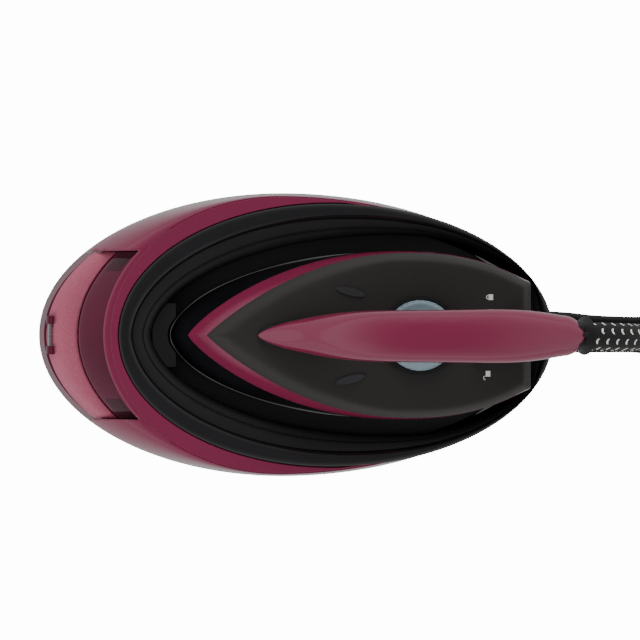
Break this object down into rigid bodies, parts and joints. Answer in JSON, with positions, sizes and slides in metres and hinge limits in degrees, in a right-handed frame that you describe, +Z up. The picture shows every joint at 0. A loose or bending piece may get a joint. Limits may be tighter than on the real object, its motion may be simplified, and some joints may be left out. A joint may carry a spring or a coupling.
{
  "type": "steam generator iron",
  "caption": "Domestic steam generator iron: an oval burgundy and black base with removable water tank and boiler, and a hose-fed steam iron resting on it.",
  "frame": {"origin": "centre of the object's box on the table plane, cords left out", "axes": "+Z up, -X towards the iron's nose and the water tank, +X towards the hose, +Y to the side with the closed-lock position"},
  "size_m": [0.7165, 0.3185, 0.2484],
  "materials": {
    "pan_black": "matte",
    "shell_burgundy": "gloss",
    "rim_burgundy": "gloss",
    "tray_black": "gloss",
    "tank_plum": "gloss",
    "lid_pink": "satin",
    "foot_rubber": "matte",
    "silicone": "satin",
    "soft_tube": "satin",
    "deck_black": "satin",
    "skirt_black": "gloss",
    "handle_burgundy": "gloss",
    "dial_grey": "satin",
    "lens_clear": "gloss",
    "sole_steel": "brushed",
    "boiler_steel": "satin",
    "cast_aluminium": "cast",
    "valve_brass": "satin",
    "jacket_felt": "matte",
    "circuit_green": "satin",
    "pin_steel": "satin",
    "hose_textile": "braided",
    "cord_rubber": "satin",
    "plug_black": "matte"
  },
  "bodies": {
    "base": {"rubber_feet": "foot_rubber", "base_pan": "pan_black", "body_shell": "shell_burgundy", "top_cover": "rim_burgundy", "rest_tray": "tray_black", "rest_mat": "silicone", "nose_cradle": "tray_black", "heel_keeper": "tray_black", "inlet_port": "pan_black", "boiler": "boiler_steel", "boiler_element": "boiler_steel", "boiler_jacket": "jacket_felt", "boiler_fittings": "valve_brass", "steam_valve": "valve_brass", "steam_pipe": "soft_tube", "pump": "pan_black", "pump_mounts": "silicone", "water_tubes": "soft_tube", "power_board": "circuit_green", "panel_plate": "tray_black", "panel_lamps": "lens_clear", "panel_board": "circuit_green", "hose_gland": "cord_rubber", "cord_gland": "cord_rubber", "hose_coil": "hose_textile", "hose_return": "hose_textile", "mains_cord": "cord_rubber", "mains_coil": "cord_rubber", "mains_plug": "plug_black"},
    "fill_lid": {"fill_lid": "lid_pink", "lid_band": "tank_plum", "lid_clips": "pan_black"},
    "water_tank": {"water_tank": "tank_plum", "lid_pin": "pin_steel"},
    "tank_valve": {"valve_plunger": "pin_steel"},
    "power_button": {"power_button": "dial_grey"},
    "eco_button": {"eco_button": "dial_grey"},
    "clean_button": {"clean_button": "dial_grey"},
    "drain_cap": {"drain_cap": "pan_black"},
    "iron": {"soleplate": "sole_steel", "steam_chamber": "cast_aluminium", "sole_element": "boiler_steel", "chamber_lid": "cast_aluminium", "iron_skirt": "skirt_black", "stripe_trim": "handle_burgundy", "deck_cover": "deck_black", "handle_cover": "handle_burgundy", "handle_lower": "skirt_black", "iron_steam_tube": "soft_tube", "trigger_pin": "pin_steel", "micro_switch": "pan_black", "hose_collar": "cord_rubber", "dial_bezel": "skirt_black", "iron_thermostat": "pin_steel", "indicator_lenses": "lens_clear", "steam_hose": "hose_textile"},
    "steam_trigger": {"steam_trigger": "dial_grey"},
    "temperature_dial": {"temperature_dial": "dial_grey", "dial_spindle": "pin_steel"},
    "lock_slider": {"lock_slider": "skirt_black"}
  },
  "joints": [
    {"name": "tank_slide", "type": "slide", "parent": "base", "child": "water_tank", "axis": [-1, 0, 0], "range_m": [0, 0.09]},
    {"name": "tank_valve", "type": "slide", "parent": "water_tank", "child": "tank_valve", "axis": [1, 0, 0], "range_m": [0, 0.002]},
    {"name": "lid_hinge", "type": "hinge", "parent": "water_tank", "child": "fill_lid", "pos_m": [-0.183, 0, 0.1216], "axis": [0, -1, 0], "range_deg": [0, 95]},
    {"name": "power_press", "type": "slide", "parent": "base", "child": "power_button", "axis": [0, 1, 0], "range_m": [0, 0.0015], "stiffness_N_per_m": 400},
    {"name": "eco_press", "type": "slide", "parent": "base", "child": "eco_button", "axis": [0, 1, 0], "range_m": [0, 0.0015], "stiffness_N_per_m": 400},
    {"name": "clean_press", "type": "slide", "parent": "base", "child": "clean_button", "axis": [0, 1, 0], "range_m": [0, 0.0015], "stiffness_N_per_m": 400},
    {"name": "drain_turn", "type": "hinge", "parent": "base", "child": "drain_cap", "pos_m": [0.062, 0, 0.01], "axis": [0, 0, 1], "range_deg": [0, 90]},
    {"name": "iron_lift", "type": "slide", "parent": "base", "child": "iron", "axis": [0, 0, 1], "range_m": [0, 0.12]},
    {"name": "trigger_pull", "type": "hinge", "parent": "iron", "child": "steam_trigger", "pos_m": [0.044, 0, 0.211], "axis": [0, -1, 0], "range_deg": [0, 8], "stiffness_Nm_per_rad": 0.6},
    {"name": "dial_turn", "type": "hinge", "parent": "iron", "child": "temperature_dial", "pos_m": [0.084, 0, 0.17], "axis": [0, 0, 1], "range_deg": [0, 270]},
    {"name": "lock_slide", "type": "slide", "parent": "iron", "child": "lock_slider", "axis": [0, 1, 0], "range_m": [0, 0.02]}
  ],
  "couplings": [
    {"joint": "tank_valve", "follows": "tank_slide", "ratio": 0.0222}
  ]
}
